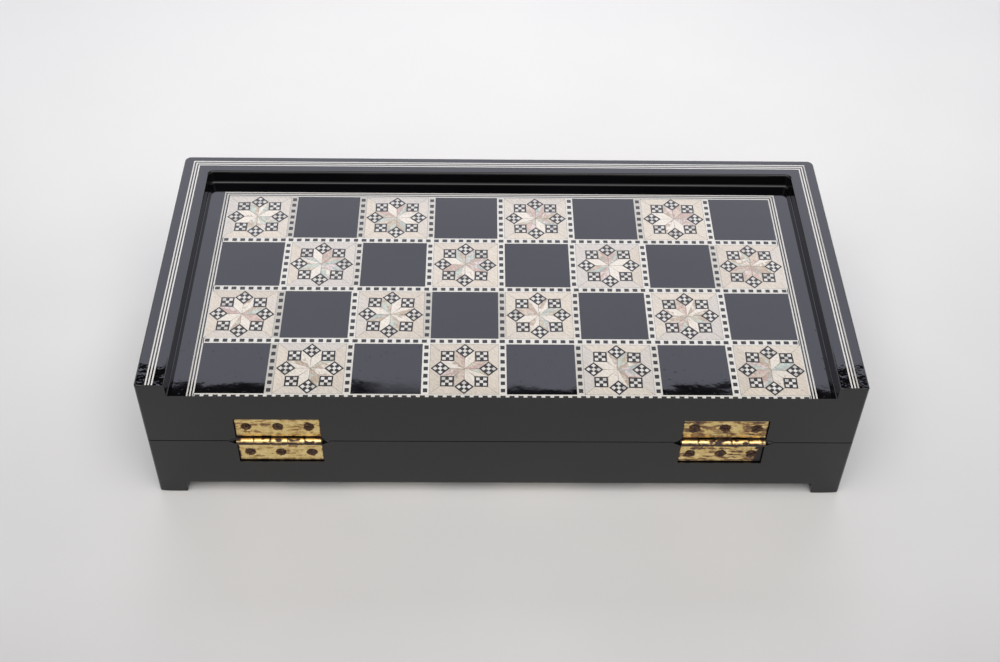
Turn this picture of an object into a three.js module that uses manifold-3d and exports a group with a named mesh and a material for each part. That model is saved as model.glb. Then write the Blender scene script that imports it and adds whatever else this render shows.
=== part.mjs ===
// A folding backgammon case whose two outsides are the halves of a chess board.
// Millimetres, +Z up, X along the hinge line, +Y away from the hinges.
// Origin: centre of the bounding box in plan, on the surface that the case stands on.
//
// Base and lid are the same half tray, one turned over. Each half is drawn in its own frame: the hinge axis
// runs along X through that frame's origin, z grows outwards from the seam, and y runs from the hinge wall
// to the back wall. The case stands on the rims of its base.

import * as THREE from "three";
import { mergeVertices } from "three/addons/utils/BufferGeometryUtils.js";
import { RoundedBoxGeometry } from "three/addons/geometries/RoundedBoxGeometry.js";
import Module from "manifold-3d";

const wasm = await Module();
wasm.setup();

// ---------------------------------------------------------------- driving dimensions

const caseLength = 420;
const caseDepth = 204;
const caseHeight = 98;
const sideWall = 17.4;
const backWall = 15.3;
const hingeWall = 16.2;
const rimHeight = 9.2; // the rim stands this far above the chess board
const chessVeneer = 1.5;
const panelThickness = 5.5;
const pointsVeneer = 1.0;

const seamGap = 0.3; // between the two halves' mating faces when shut
const faceGap = 0.15; // from the hinge axis back to the hinge wall's face
const glueGap = 0.1;

const backCornerRadius = 4;
const frontCornerRadius = 1.6;
const rimEdgeRadius = 1.3;
const seamEdgeRadius = 0.5;

const hinge = {
  x: 132, // from the middle of the case to each hinge's middle
  length: 50,
  reach: 19, // from the axis to a leaf's far edge
  leafThickness: 1.2,
  barrelRadius: 2.4,
  boreRadius: 1.25,
  pinRadius: 1.15,
  knuckles: 5,
  knuckleGap: 0.3,
  leafStart: 2.8, // the leaf's near edge, clear of the other leaf's knuckles
  screwSpacing: 18.5,
  screwReach: 11.8,
};

const screw = { headRadius: 3, neckRadius: 1.5, shankRadius: 1.2, length: 13.4, slotWidth: 0.8, slotDepth: 0.5 };

const latch = {
  x: 132,
  pivotAboveSeam: 7.5,
  swing: 50, // degrees from hanging free to caught on the stud
  armLength: 18, // pivot to stud
  armWidth: 3.6,
  thickness: 1.2,
  standOff: 0.5, // from the back wall to the hook
  eyeRadius: 4,
  endRadius: 4.2,
  pivotRadius: 1.5,
  neckRadius: 1.2,
  slotHalfWidth: 1.5,
  headProud: 3.6, // the outermost point of the pivot screw and the stud
  screwDepth: 9,
};

const checker = { radius: 13.8, thickness: 6.1, perStack: 5, edge: 1.2 };
const dieSize = 14;
const dieEdge = 1.8;

// ---------------------------------------------------------------- derived sizes

const halfLength = caseLength / 2;
const halfHeight = caseHeight / 2;
const innerX = halfLength - sideWall; // inner face of a side wall
const matingZ = seamGap / 2;
const hingeFaceY = faceGap;
const hingeInnerY = faceGap + hingeWall;
const backFaceY = faceGap + caseDepth;
const backInnerY = backFaceY - backWall;
const boardZ = halfHeight - rimHeight; // the chess board's surface
const panelTopZ = boardZ - chessVeneer - glueGap;
const panelZ = panelTopZ - panelThickness;
const wallTopZ = panelZ - glueGap; // the hinge wall ends under the panel
const trayFloorZ = wallTopZ - pointsVeneer;
const barrelProud = hinge.barrelRadius + faceGap;
const axisY = (barrelProud - latch.headProud - caseDepth) / 2 - faceGap;

// ---------------------------------------------------------------- geometry helpers

const axes = {
  x: new THREE.Matrix4().makeBasis(
    new THREE.Vector3(0, 1, 0),
    new THREE.Vector3(0, 0, 1),
    new THREE.Vector3(1, 0, 0),
  ),
  y: new THREE.Matrix4().makeBasis(
    new THREE.Vector3(1, 0, 0),
    new THREE.Vector3(0, 0, 1),
    new THREE.Vector3(0, -1, 0),
  ),
  z: new THREE.Matrix4(),
};

// A closed three.js geometry as a solid that can be joined and cut.
function solidOf(geometry) {
  const bare = geometry.clone();
  bare.deleteAttribute("normal");
  bare.deleteAttribute("uv");
  const merged = mergeVertices(bare, 1e-4);
  const vertProperties = merged.attributes.position.array;
  const triVerts = new Uint32Array(merged.index.array);
  return new wasm.Manifold(new wasm.Mesh({ numProp: 3, vertProperties, triVerts }));
}

function geometryOf(solid) {
  const mesh = solid.getMesh();
  const geometry = new THREE.BufferGeometry();
  geometry.setAttribute("position", new THREE.BufferAttribute(mesh.vertProperties, 3));
  geometry.setIndex(new THREE.BufferAttribute(mesh.triVerts, 1));
  geometry.computeVertexNormals();
  return geometry;
}

// A flat outline pushed along an axis. The outline is drawn in (x, y), (x, z) or (y, z).
function prism(axis, outline, from, to, curveSegments = 4) {
  const geometry = new THREE.ExtrudeGeometry(outline, {
    depth: to - from,
    bevelEnabled: false,
    curveSegments,
  });
  geometry.translate(0, 0, axis === "y" ? -to : from);
  return geometry.applyMatrix4(axes[axis]);
}

function block(low, high) {
  const size = high.map((value, i) => value - low[i]);
  const middle = high.map((value, i) => (value + low[i]) / 2);
  return new THREE.BoxGeometry(...size).translate(...middle);
}

// A rectangle from (u0, v0) to (u1, v1). The radii are those of its corners, anticlockwise from (u0, v0).
function roundedRectangle(u0, v0, u1, v1, radii, steps = 2) {
  const corners = [
    [u0, v0, 1, 1, Math.PI],
    [u1, v0, -1, 1, 1.5 * Math.PI],
    [u1, v1, -1, -1, 0],
    [u0, v1, 1, -1, 0.5 * Math.PI],
  ];
  const points = [];
  corners.forEach(([u, v, inU, inV, start], i) => {
    const radius = radii[i];
    const count = radius > 0 ? steps : 0;
    for (let step = 0; step <= count; step++) {
      const angle = start + (0.5 * Math.PI * step) / steps;
      const x = u + radius * (inU + Math.cos(angle));
      const y = v + radius * (inV + Math.sin(angle));
      points.push(new THREE.Vector2(x, y));
    }
  });
  return new THREE.Shape(points);
}

function circle(u, v, radius, sides) {
  const points = [];
  for (let i = 0; i < sides; i++) {
    const angle = (2 * Math.PI * i) / sides;
    points.push(new THREE.Vector2(u + radius * Math.cos(angle), v + radius * Math.sin(angle)));
  }
  return new THREE.Shape(points);
}

function rod(axis, u, v, radius, from, to, sides = 12) {
  return prism(axis, circle(u, v, radius, sides), from, to);
}

// A turned piece about the Y axis through (x, z), from points [radius, y] that start and end on the axis.
function turnedAlongY(points, x, z, sides = 14) {
  const profile = points.map(([radius, y]) => new THREE.Vector2(radius, y));
  return new THREE.LatheGeometry(profile, sides).translate(x, 0, z);
}

function joined(geometries) {
  return geometries.map(solidOf).reduce((all, solid) => all.add(solid));
}

function cut(solid, geometries) {
  return geometries.reduce((left, geometry) => left.subtract(solidOf(geometry)), solid);
}

function shared(geometries) {
  return geometries.map(solidOf).reduce((all, solid) => all.intersect(solid));
}

// ---------------------------------------------------------------- materials

const materials = {
  lacquer: new THREE.MeshStandardMaterial({ color: 0x0b0b0c, roughness: 0.12, metalness: 0 }),
  inlaidBoard: new THREE.MeshStandardMaterial({ color: 0x8f8c86, roughness: 0.15, metalness: 0 }),
  panelWood: new THREE.MeshStandardMaterial({ color: 0x6e5138, roughness: 0.6, metalness: 0 }),
  brass: new THREE.MeshStandardMaterial({ color: 0xb89a5c, roughness: 0.4, metalness: 1 }),
  steel: new THREE.MeshStandardMaterial({ color: 0x5a4a40, roughness: 0.55, metalness: 1 }),
  paleChecker: new THREE.MeshStandardMaterial({ color: 0xe6dcc4, roughness: 0.35, metalness: 0 }),
  darkChecker: new THREE.MeshStandardMaterial({ color: 0x241c18, roughness: 0.35, metalness: 0 }),
  bone: new THREE.MeshStandardMaterial({ color: 0xefe8d6, roughness: 0.3, metalness: 0 }),
};

function part(name, geometry, material) {
  const mesh = new THREE.Mesh(geometry, material);
  mesh.name = name;
  return mesh;
}

// ---------------------------------------------------------------- the wooden half tray

// A side wall runs the full depth, so its end grain shows beside the hinge wall. side is -1 or 1.
function sideWallGeometry(side) {
  const outer = side * halfLength;
  const inner = side * innerX;
  const [low, high] = side < 0 ? [outer, inner] : [inner, outer];
  const front = frontCornerRadius;
  const back = backCornerRadius;
  const plan = side < 0 ? [front, 0, 0, back] : [0, front, back, 0];
  const rim = rimEdgeRadius;
  const seam = seamEdgeRadius;
  const section = side < 0 ? [seam, 0, rim, rim] : [0, seam, rim, rim];
  return geometryOf(
    shared([
      prism("z", roundedRectangle(low, hingeFaceY, high, backFaceY, plan), matingZ, halfHeight),
      prism("y", roundedRectangle(low, matingZ, high, halfHeight, section), hingeFaceY, backFaceY),
      prism("x", roundedRectangle(hingeFaceY, matingZ, backFaceY, halfHeight, [0, seam, rim, rim]), low, high),
    ]),
  );
}

function backWallGeometry(screwHoles) {
  const end = innerX - glueGap;
  const section = [0, seamEdgeRadius, rimEdgeRadius, rimEdgeRadius];
  const outline = roundedRectangle(backInnerY, matingZ, backFaceY, halfHeight, section);
  const body = solidOf(prism("x", outline, -end, end));
  return geometryOf(cut(body, screwHoles));
}

// Long hollow that takes the back half of the barrel, tapering out past both ends of the hinge.
function barrelHollow() {
  const radius = hinge.barrelRadius + 0.6;
  const straight = hinge.length / 2 + 0.6;
  const tapered = straight + 6;
  const profile = [
    [0, -tapered],
    [radius, -straight],
    [radius, straight],
    [0, tapered],
  ].map(([r, y]) => new THREE.Vector2(r, y));
  return new THREE.LatheGeometry(profile, 16).rotateZ(-Math.PI / 2);
}

function hingeWallGeometry() {
  const end = innerX - glueGap;
  const mortise = hinge.length / 2 + 0.3;
  const mortiseDepth = hinge.barrelRadius + glueGap;
  const holeRadius = screw.shankRadius + 0.3;
  const cuts = [-hinge.x, hinge.x].flatMap((x) => [
    block([x - mortise, -1, matingZ - 1], [x + mortise, mortiseDepth, hinge.reach + 0.6]),
    barrelHollow().translate(x, 0, 0),
    ...screwOffsets.map((dx) => rod("y", x + dx, hinge.screwReach, holeRadius, 1, screw.length + 1.6, 12)),
  ]);
  const body = solidOf(block([-end, hingeFaceY, matingZ], [end, hingeInnerY, wallTopZ]));
  return geometryOf(cut(body, cuts));
}

const screwOffsets = [-hinge.screwSpacing, 0, hinge.screwSpacing];

function panelGeometry() {
  const end = innerX - glueGap;
  return block([-end, hingeFaceY, panelZ], [end, backInnerY - glueGap, panelTopZ]);
}

function chessVeneerGeometry() {
  const end = innerX - glueGap;
  return block([-end, hingeFaceY, panelTopZ + glueGap], [end, backInnerY - glueGap, boardZ]);
}

function pointsVeneerGeometry() {
  const end = innerX - glueGap;
  return block([-end, hingeInnerY + glueGap, trayFloorZ], [end, backInnerY - glueGap, wallTopZ]);
}

// ---------------------------------------------------------------- butt hinges

const knuckleLength = (hinge.length - (hinge.knuckles - 1) * hinge.knuckleGap) / hinge.knuckles;

function knuckleSpan(index) {
  const start = -hinge.length / 2 + index * (knuckleLength + hinge.knuckleGap);
  return [start, start + knuckleLength];
}

// One leaf with every second knuckle, the first one being 0 or 1, and countersunk screw holes.
function leafGeometry(firstKnuckle) {
  const backY = hinge.barrelRadius;
  const frontY = backY - hinge.leafThickness;
  const half = hinge.length / 2;
  const outline = roundedRectangle(-half, hinge.leafStart, half, hinge.reach, [0, 0, 0.8, 0.8]);
  const pieces = [prism("y", outline, frontY, backY)];
  for (let i = firstKnuckle; i < hinge.knuckles; i += 2) {
    const [from, to] = knuckleSpan(i);
    pieces.push(rod("x", 0, 0, hinge.barrelRadius, from, to, 20));
    pieces.push(block([from, frontY, 0], [to, backY, hinge.leafStart + 0.5]));
  }
  const holes = screwOffsets.map((x) =>
    turnedAlongY(
      [
        [0, frontY - 0.5],
        [screw.headRadius + 0.96, frontY - 0.5],
        [screw.neckRadius + 0.12, backY],
        [screw.neckRadius + 0.12, backY + 0.5],
        [0, backY + 0.5],
      ],
      x,
      hinge.screwReach,
    ),
  );
  const bore = rod("x", 0, 0, hinge.boreRadius, -half - 1, half + 1, 12);
  return geometryOf(cut(joined(pieces), [bore, ...holes]));
}

function pinGeometry() {
  return rod("x", 0, 0, hinge.pinRadius, -hinge.length / 2, hinge.length / 2, 12);
}

// Countersunk wood screw, head just under the leaf's face, driven along +Y.
function screwGeometry() {
  const faceY = hinge.barrelRadius - hinge.leafThickness + 0.05;
  const backY = hinge.barrelRadius;
  const body = turnedAlongY(
    [
      [0, faceY],
      [screw.headRadius, faceY],
      [screw.neckRadius, backY],
      [screw.shankRadius, backY + 0.3],
      [screw.shankRadius, screw.length - 1.6],
      [0, screw.length],
    ],
    0,
    0,
  );
  const half = screw.slotWidth / 2;
  const slot = block([-4, faceY - 1, -half], [4, faceY + screw.slotDepth, half]);
  return geometryOf(cut(solidOf(body), [slot]));
}

// ---------------------------------------------------------------- swing-hook latches

// Flat hook hanging from its pivot at the origin, its mouth open towards the stud's side, which is -1 or 1.
function hookGeometry(side) {
  const { armLength, armWidth, thickness, eyeRadius, endRadius, slotHalfWidth } = latch;
  const tail = new THREE.Shape();
  tail.moveTo(-side * armWidth * 0.5, -armLength);
  tail.quadraticCurveTo(-side * 4.5, -armLength - 5, -side * 7.5, -armLength - 5.5);
  tail.quadraticCurveTo(-side * 8.4, -armLength - 3.8, -side * 7.2, -armLength - 3);
  tail.quadraticCurveTo(-side * 4.5, -armLength - 1, -side * 2.5, -armLength + 3);
  tail.closePath();
  const flat = (outline) => prism("y", outline, 0, thickness);
  const blank = joined([
    flat(circle(0, 0, eyeRadius, 20)),
    flat(roundedRectangle(-armWidth / 2, -armLength, armWidth / 2, 0, [0, 0, 0, 0])),
    flat(circle(0, -armLength, endRadius, 20)),
    flat(tail),
  ]);
  const ring = solidOf(rod("y", 0, 0, armLength + slotHalfWidth, -1, thickness + 1, 60)).subtract(
    solidOf(rod("y", 0, 0, armLength - slotHalfWidth, -2, thickness + 2, 60)),
  );
  const mouthSide = [0, side * 12].sort((a, b) => a - b);
  const mouth = ring.intersect(
    solidOf(block([mouthSide[0], -2, -armLength - 6], [mouthSide[1], thickness + 2, -armLength + 6])),
  );
  const cuts = [
    rod("y", 0, 0, latch.pivotRadius + 0.25, -1, thickness + 1, 16),
    rod("y", 0, -armLength, slotHalfWidth, -1, thickness + 1, 16),
  ];
  return geometryOf(cut(blank.subtract(mouth), cuts));
}

// Round-headed screw through the hook's eye. y counts outwards from the back wall's face.
function pivotScrewGeometry() {
  const under = latch.standOff + latch.thickness + 0.2;
  return turnedAlongY(
    [
      [0, -latch.screwDepth],
      [1.2, -latch.screwDepth + 1.5],
      [latch.pivotRadius, -latch.screwDepth + 1.5],
      [latch.pivotRadius, under],
      [3.4, under],
      [3.1, latch.headProud - 0.8],
      [2, latch.headProud - 0.15],
      [0, latch.headProud],
    ],
    0,
    0,
  );
}

function studGeometry() {
  const under = latch.standOff + latch.thickness + 0.2;
  return turnedAlongY(
    [
      [0, -7],
      [latch.neckRadius, -7],
      [latch.neckRadius, 0.1],
      [2.6, 0.1],
      [2.6, 0.3],
      [latch.neckRadius, 0.35],
      [latch.neckRadius, under],
      [2.1, under],
      [2, latch.headProud - 0.5],
      [1.2, latch.headProud - 0.05],
      [0, latch.headProud],
    ],
    0,
    0,
  );
}

// ---------------------------------------------------------------- playing pieces

// Five turned checkers as one column, standing on z = 0.
function checkerStackGeometry() {
  const { radius, thickness, perStack, edge } = checker;
  const points = [new THREE.Vector2(0, 0), new THREE.Vector2(radius - edge, 0)];
  for (let i = 0; i < perStack; i++) {
    const foot = i * thickness;
    const top = foot + thickness;
    points.push(new THREE.Vector2(radius, foot + edge));
    points.push(new THREE.Vector2(radius, top - edge));
    points.push(new THREE.Vector2(radius - edge, top));
  }
  points.push(new THREE.Vector2(0, perStack * thickness));
  return new THREE.LatheGeometry(points, 20).rotateX(Math.PI / 2);
}

function dieGeometry() {
  return new RoundedBoxGeometry(dieSize, dieSize, dieSize, 2, dieEdge);
}

// ---------------------------------------------------------------- assembly

const root = new THREE.Group();

// A half tray with its walls, board, hinge leaves and leaf screws. up is 1 for the lid and -1 for the base.
function halfTray(prefix, up, firstKnuckle, backScrewHoles) {
  const half = new THREE.Group();
  half.position.set(0, axisY, halfHeight);
  if (up < 0) half.rotation.y = Math.PI;
  const sideName = (side) => (side * up < 0 ? "left" : "right");
  half.add(
    part(`${prefix}_${sideName(-1)}_wall`, sideWallGeometry(-1), materials.lacquer),
    part(`${prefix}_${sideName(1)}_wall`, sideWallGeometry(1), materials.lacquer),
    part(`${prefix}_back_wall`, backWallGeometry(backScrewHoles), materials.lacquer),
    part(`${prefix}_hinge_wall`, hingeWallGeometry(), materials.lacquer),
    part(`${prefix}_panel`, panelGeometry(), materials.panelWood),
    part(`${prefix}_chess_veneer`, chessVeneerGeometry(), materials.inlaidBoard),
    part(`${prefix}_points_veneer`, pointsVeneerGeometry(), materials.inlaidBoard),
  );
  const leaf = leafGeometry(firstKnuckle);
  const leafScrew = screwGeometry();
  for (const side of [-1, 1]) {
    const fitting = new THREE.Group();
    fitting.position.x = side * hinge.x;
    fitting.add(part(`${sideName(side)}_hinge_${prefix}_leaf`, leaf, materials.brass));
    screwOffsets.forEach((dx, i) => {
      const driven = part(`${sideName(side)}_hinge_${prefix}_screw_${i + 1}`, leafScrew, materials.steel);
      driven.position.set(dx, 0, hinge.screwReach);
      driven.rotation.y = 0.5 + 1.9 * i + side;
      fitting.add(driven);
    });
    half.add(fitting);
  }
  return half;
}

const swing = THREE.MathUtils.degToRad(latch.swing);
const studX = latch.x - latch.armLength * Math.sin(swing);
const studZ = latch.pivotAboveSeam - latch.armLength * Math.cos(swing); // below the seam

function backHole(x, z, radius, depth) {
  return rod("y", x, z, radius, backFaceY - depth, backFaceY + 1, 12);
}

const pivotHoles = [-1, 1].map((side) =>
  backHole(side * latch.x, latch.pivotAboveSeam, latch.pivotRadius + 0.2, latch.screwDepth + 0.5),
);
const studHoles = [-1, 1].map((side) => backHole(side * studX, -studZ, latch.neckRadius + 0.2, 7.5));

root.add(halfTray("base", -1, 1, studHoles));
root.add(halfTray("lid", 1, 0, pivotHoles));

for (const [name, side] of [
  ["left", -1],
  ["right", 1],
]) {
  const pin = part(`${name}_hinge_pin`, pinGeometry(), materials.brass);
  pin.position.set(side * hinge.x, axisY, halfHeight);
  root.add(pin);

  const backY = axisY + backFaceY;
  const pivotZ = halfHeight + latch.pivotAboveSeam;
  const hook = part(`${name}_latch_hook`, hookGeometry(-side), materials.brass);
  hook.position.set(side * latch.x, backY + latch.standOff, pivotZ);
  const pivotScrew = part(`${name}_latch_pivot_screw`, pivotScrewGeometry(), materials.brass);
  pivotScrew.position.set(side * latch.x, backY, pivotZ);
  const stud = part(`${name}_latch_stud`, studGeometry(), materials.brass);
  stud.position.set(side * studX, backY, halfHeight + studZ);
  root.add(hook, pivotScrew, stud);
}

// Three stacks of each colour and a die stand on the feet of the points, clear of the seam.
const floorZ = halfHeight - trayFloorZ + glueGap;
const pointPitch = (backInnerY - hingeInnerY - 2 * glueGap) / 6;
const pointY = (index) => axisY + hingeInnerY + glueGap + (index + 0.5) * pointPitch;
const stackX = innerX - checker.radius - 1.6;
const stack = checkerStackGeometry();

[0, 2, 4].forEach((index, i) => {
  const pale = part(`pale_checker_stack_${i + 1}`, stack, materials.paleChecker);
  pale.position.set(-stackX, pointY(index), floorZ);
  const dark = part(`dark_checker_stack_${i + 1}`, stack, materials.darkChecker);
  dark.position.set(stackX, pointY(index + 1), floorZ);
  root.add(pale, dark);
});

[
  [-1, 5, 0.35],
  [1, 0, -0.5],
].forEach(([side, index, turn], i) => {
  const die = part(`die_${i + 1}`, dieGeometry(), materials.bone);
  die.position.set(side * stackX, pointY(index), floorZ + dieSize / 2);
  die.rotation.z = turn;
  root.add(die);
});

export default root;
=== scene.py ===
import math
import random

import bmesh
import bpy
from mathutils import Matrix, Vector, noise


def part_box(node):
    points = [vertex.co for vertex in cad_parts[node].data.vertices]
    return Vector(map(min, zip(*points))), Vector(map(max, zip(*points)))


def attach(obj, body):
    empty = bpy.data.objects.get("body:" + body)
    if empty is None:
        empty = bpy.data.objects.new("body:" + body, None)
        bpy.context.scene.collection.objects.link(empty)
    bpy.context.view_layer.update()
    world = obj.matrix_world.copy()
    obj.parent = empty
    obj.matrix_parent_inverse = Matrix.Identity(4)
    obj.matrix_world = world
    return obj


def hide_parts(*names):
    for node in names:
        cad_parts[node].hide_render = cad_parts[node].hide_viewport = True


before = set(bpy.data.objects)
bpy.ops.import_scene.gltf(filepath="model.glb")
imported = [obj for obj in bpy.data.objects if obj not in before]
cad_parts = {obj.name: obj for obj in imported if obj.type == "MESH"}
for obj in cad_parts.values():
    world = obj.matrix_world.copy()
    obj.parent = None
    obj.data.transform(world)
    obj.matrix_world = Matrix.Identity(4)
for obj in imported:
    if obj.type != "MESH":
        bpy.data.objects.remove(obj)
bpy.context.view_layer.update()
mm = 0.001
hair = 0.01  # two heights closer than this are the same height
print("frame loaded:", len(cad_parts), "CAD nodes")


# shared helpers: sizes are in mm, in a half's own frame unless a note says otherwise

def boxOf(node):
    low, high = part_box(node)
    return [c / mm for c in low], [c / mm for c in high]


def linear(hexText):
    channels = [int(hexText[i:i + 2], 16) / 255 for i in (1, 3, 5)]
    return [c / 12.92 if c <= 0.04045 else ((c + 0.055) / 1.055) ** 2.4 for c in channels] + [1.0]


def addNode(tree, kind, settings=None, links=None):
    # a key that names or numbers a socket sets the socket, any other sets the node
    node = tree.nodes.new(kind)
    for key, value in (settings or {}).items():
        if isinstance(key, int) or key in node.inputs:
            node.inputs[key].default_value = value
        else:
            setattr(node, key, value)
    for key, source in (links or {}).items():
        tree.links.new(source, node.inputs[key])
    return node


def rampOf(tree, value, stops, smooth=False):
    # each stop is a position with either a hex colour or a plain level
    node = addNode(tree, "ShaderNodeValToRGB", {}, {"Fac": value})
    ramp = node.color_ramp
    ramp.interpolation = "EASE" if smooth else "LINEAR"
    while len(ramp.elements) < len(stops):
        ramp.elements.new(0.5)
    for element, (position, colour) in zip(ramp.elements, stops):
        element.position = position
        element.color = linear(colour) if isinstance(colour, str) else [colour, colour, colour, 1]
    return node.outputs["Color"]


def cloudOf(tree, place, scale, detail=2, roughness=0.5, distortion=0.0):
    settings = {"Scale": scale, "Detail": detail, "Roughness": roughness, "Distortion": distortion}
    return addNode(tree, "ShaderNodeTexNoise", settings, {"Vector": place}).outputs["Fac"]


def bumpOf(tree, height, strength, distance, under=None):
    # distance is in metres; under is the normal of a bump that this one is laid over
    links = {"Height": height}
    if under is not None:
        links["Normal"] = under
    settings = {"Strength": strength, "Distance": distance}
    return addNode(tree, "ShaderNodeBump", settings, links).outputs["Normal"]


def mathOf(tree, operation, *values):
    # each value is a number or another node's output
    node = addNode(tree, "ShaderNodeMath", {"operation": operation})
    for i, value in enumerate(values):
        if isinstance(value, (int, float)):
            node.inputs[i].default_value = value
        else:
            tree.links.new(value, node.inputs[i])
    return node.outputs[0]


def rangeOf(tree, value, fromMin, fromMax, toMin=0.0, toMax=1.0, kind="LINEAR"):
    settings = {"interpolation_type": kind, "From Min": fromMin, "From Max": fromMax, "To Min": toMin,
                "To Max": toMax}
    return addNode(tree, "ShaderNodeMapRange", settings, {"Value": value}).outputs["Result"]


def multiplied(tree, first, second, amount=1.0):
    settings = {"data_type": "RGBA", "blend_type": "MULTIPLY", 0: amount}
    return addNode(tree, "ShaderNodeMix", settings, {6: first, 7: second}).outputs[2]


def attributeOf(tree, name):
    return addNode(tree, "ShaderNodeAttribute", {"attribute_name": name}).outputs["Fac"]


def stretched(tree, place, scale):
    return addNode(tree, "ShaderNodeMapping", {"Scale": scale}, {"Vector": place}).outputs["Vector"]


def startMaterial(name, settings):
    # also gives the place on the object, which every pattern is laid out from
    material = bpy.data.materials.new(name)
    material.use_nodes = True
    tree = material.node_tree
    for key, value in settings.items():
        tree.nodes["Principled BSDF"].inputs[key].default_value = value
    place = addNode(tree, "ShaderNodeTexCoord").outputs["Object"]
    return material, tree, place


def wire(tree, sockets):
    for name, output in sockets.items():
        tree.links.new(output, tree.nodes["Principled BSDF"].inputs[name])


def newObject(name, mesh):
    piece = bpy.data.objects.new(name, mesh)
    bpy.context.scene.collection.objects.link(piece)
    return piece


def giveMaterials(piece, *materials):
    piece.data.materials.clear()
    for material in materials:
        piece.data.materials.append(material)


def finishPiece(piece, body, stands=()):
    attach(piece, body)
    if stands:
        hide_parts(*stands)


def smoothByAngle(mesh, degrees=32):
    mesh.shade_smooth()
    mesh.set_sharp_from_angle(angle=math.radians(degrees))


def meshOf(name, bm, matrix):
    bmesh.ops.transform(bm, matrix=matrix @ Matrix.Scale(mm, 4), verts=bm.verts)
    mesh = bpy.data.meshes.new(name)
    bm.to_mesh(mesh)
    bm.free()
    return mesh


def prism(bm, outline, low, high):
    # an outline in the (x, y) plane, pushed up from low to high
    bottom = [bm.verts.new((u, v, low)) for u, v in outline]
    top = [bm.verts.new((u, v, high)) for u, v in outline]
    faces = [bm.faces.new(bottom), bm.faces.new(top)]
    count = len(outline)
    for i in range(count):
        j = (i + 1) % count
        faces.append(bm.faces.new((bottom[i], bottom[j], top[j], top[i])))
    bmesh.ops.recalc_face_normals(bm, faces=faces)


def roundedOutline(u0, v0, u1, v1, radii, steps=6):
    corners = [(u0, v0, 1, 1, 180), (u1, v0, -1, 1, 270), (u1, v1, -1, -1, 0), (u0, v1, 1, -1, 90)]
    points = []
    for (u, v, inU, inV, start), radius in zip(corners, radii):
        count = steps if radius > 0 else 0
        for step in range(count + 1):
            angle = math.radians(start + 90 * step / steps)
            points.append((u + radius * (inU + math.cos(angle)), v + radius * (inV + math.sin(angle))))
    return points


def turned(name, profile, matrix, sides=40):
    # a lathe about the local Z axis; profile is [radius, z] from foot to top, both ends on the axis
    bm = bmesh.new()
    rings = []
    for radius, z in profile:
        if radius == 0:
            rings.append([bm.verts.new((0, 0, z))])
            continue
        ring = []
        for i in range(sides):
            angle = 2 * math.pi * i / sides
            ring.append(bm.verts.new((radius * math.cos(angle), radius * math.sin(angle), z)))
        rings.append(ring)
    for lower, upper in zip(rings, rings[1:]):
        for i in range(sides):
            j = (i + 1) % sides
            # a ring of one vertex is an end on the axis, where the four corners are only three
            corners = [lower[i % len(lower)], lower[j % len(lower)]]
            corners += [upper[j % len(upper)], upper[i % len(upper)]]
            unique = list(dict.fromkeys(corners))
            if len(unique) > 2:
                bm.faces.new(unique)
    bmesh.ops.recalc_face_normals(bm, faces=bm.faces)
    mesh = meshOf(name, bm, matrix)
    smoothByAngle(mesh)
    return newObject(name, mesh)


def carve(piece, cutters):
    # takes each cutter out of the piece for good and deletes the cutters
    for cutter in cutters:
        modifier = piece.modifiers.new("cut", "BOOLEAN")
        modifier.operation = "DIFFERENCE"
        modifier.solver = "EXACT"
        modifier.object = cutter
    bpy.context.view_layer.update()
    evaluated = piece.evaluated_get(bpy.context.evaluated_depsgraph_get())
    mesh = bpy.data.meshes.new_from_object(evaluated)
    piece.modifiers.clear()
    piece.data = mesh
    for cutter in cutters:
        bpy.data.objects.remove(cutter)


def inMillimetres(name, bm):
    # an object whose mesh stays in mm while it is worked on
    return newObject(name, meshOf(name, bm, Matrix.Scale(1 / mm, 4)))


# the two halves: lid and base are one half tray, the base's turned over

rightWall = boxOf("lid_right_wall")
backWall = boxOf("lid_back_wall")
leafBox = boxOf("right_hinge_lid_leaf")
pinBox = boxOf("right_hinge_pin")
axisY = (pinBox[0][1] + pinBox[1][1]) / 2
seamZ = (pinBox[0][2] + pinBox[1][2]) / 2
half = {
    "endX": rightWall[1][0],
    "innerX": rightWall[0][0],
    "frontY": rightWall[0][1] - axisY,
    "backY": rightWall[1][1] - axisY,
    "backInnerY": backWall[0][1] - axisY,
    "hingeInnerY": boxOf("lid_hinge_wall")[1][1] - axisY,
    "seam": rightWall[0][2] - seamZ,
    "rim": rightWall[1][2] - seamZ,
    "board": boxOf("lid_chess_veneer")[1][2] - seamZ,
    "tray": boxOf("lid_points_veneer")[0][2] - seamZ,
    "hingeX": (leafBox[0][0] + leafBox[1][0]) / 2,
}
halfMatrix = {
    "lid": Matrix.Translation((0, axisY * mm, seamZ * mm)),
    "base": Matrix.Translation((0, axisY * mm, seamZ * mm)) @ Matrix.Rotation(math.pi, 4, "Y"),
}


# materials

lacquerLook = {
    "tones": [(0.3, "#070709"), (0.75, "#0f0f12")], "roughness": [(0.35, 0.015), (0.62, 0.035), (0.8, 0.13)],
    "wave": 0.38, "waveDepth": 0.0003, "peel": 0.09, "peelDepth": 0.0001, "nib": 0.3, "nibDepth": 0.00005,
    "rubbedRun": 0.026, "rubbedDepth": -0.0005, "rimBand": 1,
}


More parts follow.
